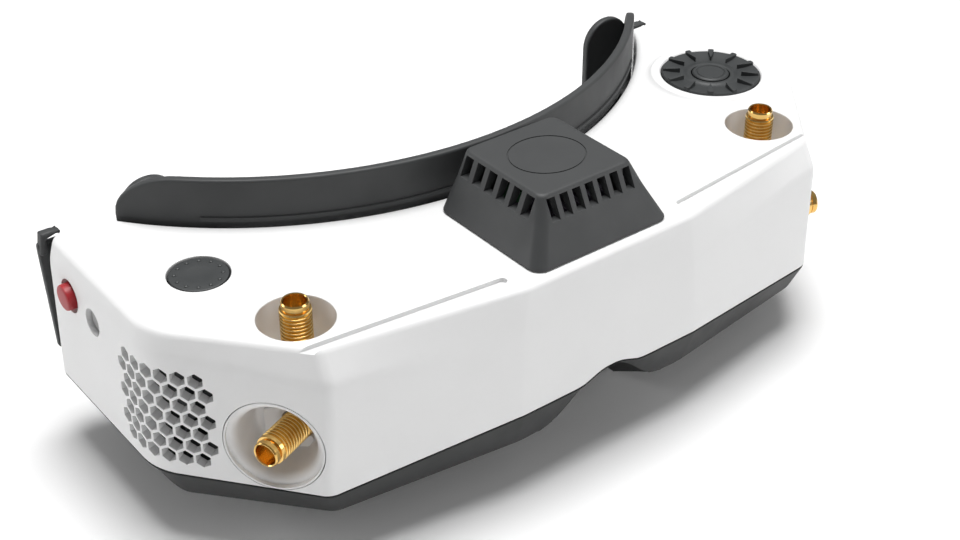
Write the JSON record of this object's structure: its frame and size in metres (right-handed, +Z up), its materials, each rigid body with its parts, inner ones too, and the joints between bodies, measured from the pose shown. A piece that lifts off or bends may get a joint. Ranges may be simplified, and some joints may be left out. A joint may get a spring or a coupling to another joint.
{
  "type": "fpv goggles",
  "caption": "Box-style head-worn video goggles with a curved faceplate, vented top cover, threaded antenna connectors, control dial, buttons and sliding focusable eyepieces.",
  "frame": {"origin": "centre of the bounding box in plan, at the height of the surface the goggles stand on", "axes": "+X towards the wearer's left ear side end with the dial, +Y towards the wearer, +Z up; the front faces -Y"},
  "size_m": [0.179, 0.0806, 0.0622],
  "materials": {
    "white_plastic": "fine satin moulding",
    "black_plastic": "matte moulding",
    "grey_plastic": "matte moulding",
    "control_plastic": "satin moulding",
    "red_plastic": "satin",
    "gold_brass": "gold plated",
    "port_steel": "satin",
    "heatsink_metal": "matte anodised",
    "circuit_board": "solder mask",
    "display_glass": "dark display",
    "lens_glass": "clear",
    "foot_rubber": "matte"
  },
  "bodies": {
    "housing": {"upper_shell": "white_plastic", "lower_cover": "black_plastic", "rear_panel": "black_plastic", "faceplate": "grey_plastic", "top_cover": "grey_plastic", "nav_switch": "black_plastic", "dial_encoder": "black_plastic", "side_switch_board": "circuit_board", "power_jack": "black_plastic", "video_port": "port_steel", "module_board": "circuit_board", "module_heatsink": "heatsink_metal", "main_board": "circuit_board", "ipd_rail": "port_steel", "cooling_fan_frame": "black_plastic", "antenna_jack_top_left": "gold_brass", "antenna_nut_top_left": "gold_brass", "antenna_jack_side_left": "gold_brass", "antenna_cup_left": "white_plastic", "strap_bracket_left": "grey_plastic", "defog_fan_frame_left": "black_plastic", "antenna_jack_top_right": "gold_brass", "antenna_nut_top_right": "gold_brass", "antenna_jack_side_right": "gold_brass", "antenna_cup_right": "white_plastic", "strap_bracket_right": "grey_plastic", "defog_fan_frame_right": "black_plastic", "base_screw_1": "port_steel", "rubber_foot_1": "foot_rubber", "base_screw_2": "port_steel", "rubber_foot_2": "foot_rubber", "base_screw_3": "port_steel", "rubber_foot_3": "foot_rubber", "base_screw_4": "port_steel", "rubber_foot_4": "foot_rubber"},
    "nav": {"nav_button": "control_plastic"},
    "dial": {"dial_knob": "control_plastic"},
    "dial_centre": {"dial_button": "control_plastic"},
    "power": {"power_button": "red_plastic"},
    "record": {"record_button": "white_plastic"},
    "cooling_rotor": {"cooling_fan_rotor": "black_plastic"},
    "optics_left": {"optics_carriage_left": "black_plastic", "display_panel_left": "display_glass"},
    "focus_left": {"focus_ring_left": "grey_plastic"},
    "lens_left": {"eyepiece_lens_left": "lens_glass"},
    "defog_rotor_left": {"defog_fan_rotor_left": "control_plastic"},
    "optics_right": {"optics_carriage_right": "black_plastic", "display_panel_right": "display_glass"},
    "focus_right": {"focus_ring_right": "grey_plastic"},
    "lens_right": {"eyepiece_lens_right": "lens_glass"},
    "defog_rotor_right": {"defog_fan_rotor_right": "control_plastic"}
  },
  "joints": [
    {"name": "nav_press", "type": "slide", "parent": "housing", "child": "nav", "axis": [0, 0, -1], "range_m": [0, 0.0008], "stiffness_N_per_m": 400, "springref_m": -0.001},
    {"name": "dial_turn", "type": "hinge", "parent": "housing", "child": "dial", "pos_m": [0.0709, 0.0054, 0.0492], "axis": [0, 0, 1], "continuous": true},
    {"name": "dial_press", "type": "slide", "parent": "housing", "child": "dial_centre", "axis": [0, 0, -1], "range_m": [0, 0.0006], "stiffness_N_per_m": 400, "springref_m": -0.001},
    {"name": "power_press", "type": "slide", "parent": "housing", "child": "power", "axis": [1, 0, 0], "range_m": [0, 0.0012], "stiffness_N_per_m": 400, "springref_m": -0.001},
    {"name": "record_press", "type": "slide", "parent": "housing", "child": "record", "axis": [1, 0, 0], "range_m": [0, 0.0006], "stiffness_N_per_m": 400, "springref_m": -0.001},
    {"name": "cooling_fan_spin", "type": "hinge", "parent": "housing", "child": "cooling_rotor", "pos_m": [0, -0.0202, 0.0432], "axis": [0, 0, 1], "continuous": true},
    {"name": "ipd_left", "type": "slide", "parent": "housing", "child": "optics_left", "axis": [-1, 0, 0], "range_m": [-0.003, 0.003]},
    {"name": "ipd_right", "type": "slide", "parent": "housing", "child": "optics_right", "axis": [1, 0, 0], "range_m": [-0.003, 0.003]},
    {"name": "focus_left_turn", "type": "hinge", "parent": "optics_left", "child": "focus_left", "pos_m": [-0.033, -0.0026, 0.027], "axis": [0, 1, 0], "range_deg": [-60, 60]},
    {"name": "focus_right_turn", "type": "hinge", "parent": "optics_right", "child": "focus_right", "pos_m": [0.033, -0.0026, 0.027], "axis": [0, 1, 0], "range_deg": [-60, 60]},
    {"name": "focus_left_lens", "type": "slide", "parent": "optics_left", "child": "lens_left", "axis": [0, 1, 0], "range_m": [-0.0012, 0.0012]},
    {"name": "focus_right_lens", "type": "slide", "parent": "optics_right", "child": "lens_right", "axis": [0, 1, 0], "range_m": [-0.0012, 0.0012]},
    {"name": "defog_fan_spin_left", "type": "hinge", "parent": "housing", "child": "defog_rotor_left", "pos_m": [-0.07887, -0.00491, 0.0296], "axis": [-0.9418, -0.3363, 0], "continuous": true},
    {"name": "defog_fan_spin_right", "type": "hinge", "parent": "housing", "child": "defog_rotor_right", "pos_m": [0.07887, -0.00491, 0.0296], "axis": [0.9418, -0.3363, 0], "continuous": true}
  ],
  "couplings": [
    {"joint": "focus_left_turn", "follows": "focus_left_lens", "rad_per_m": 869.57},
    {"joint": "focus_right_turn", "follows": "focus_right_lens", "rad_per_m": 869.57}
  ]
}
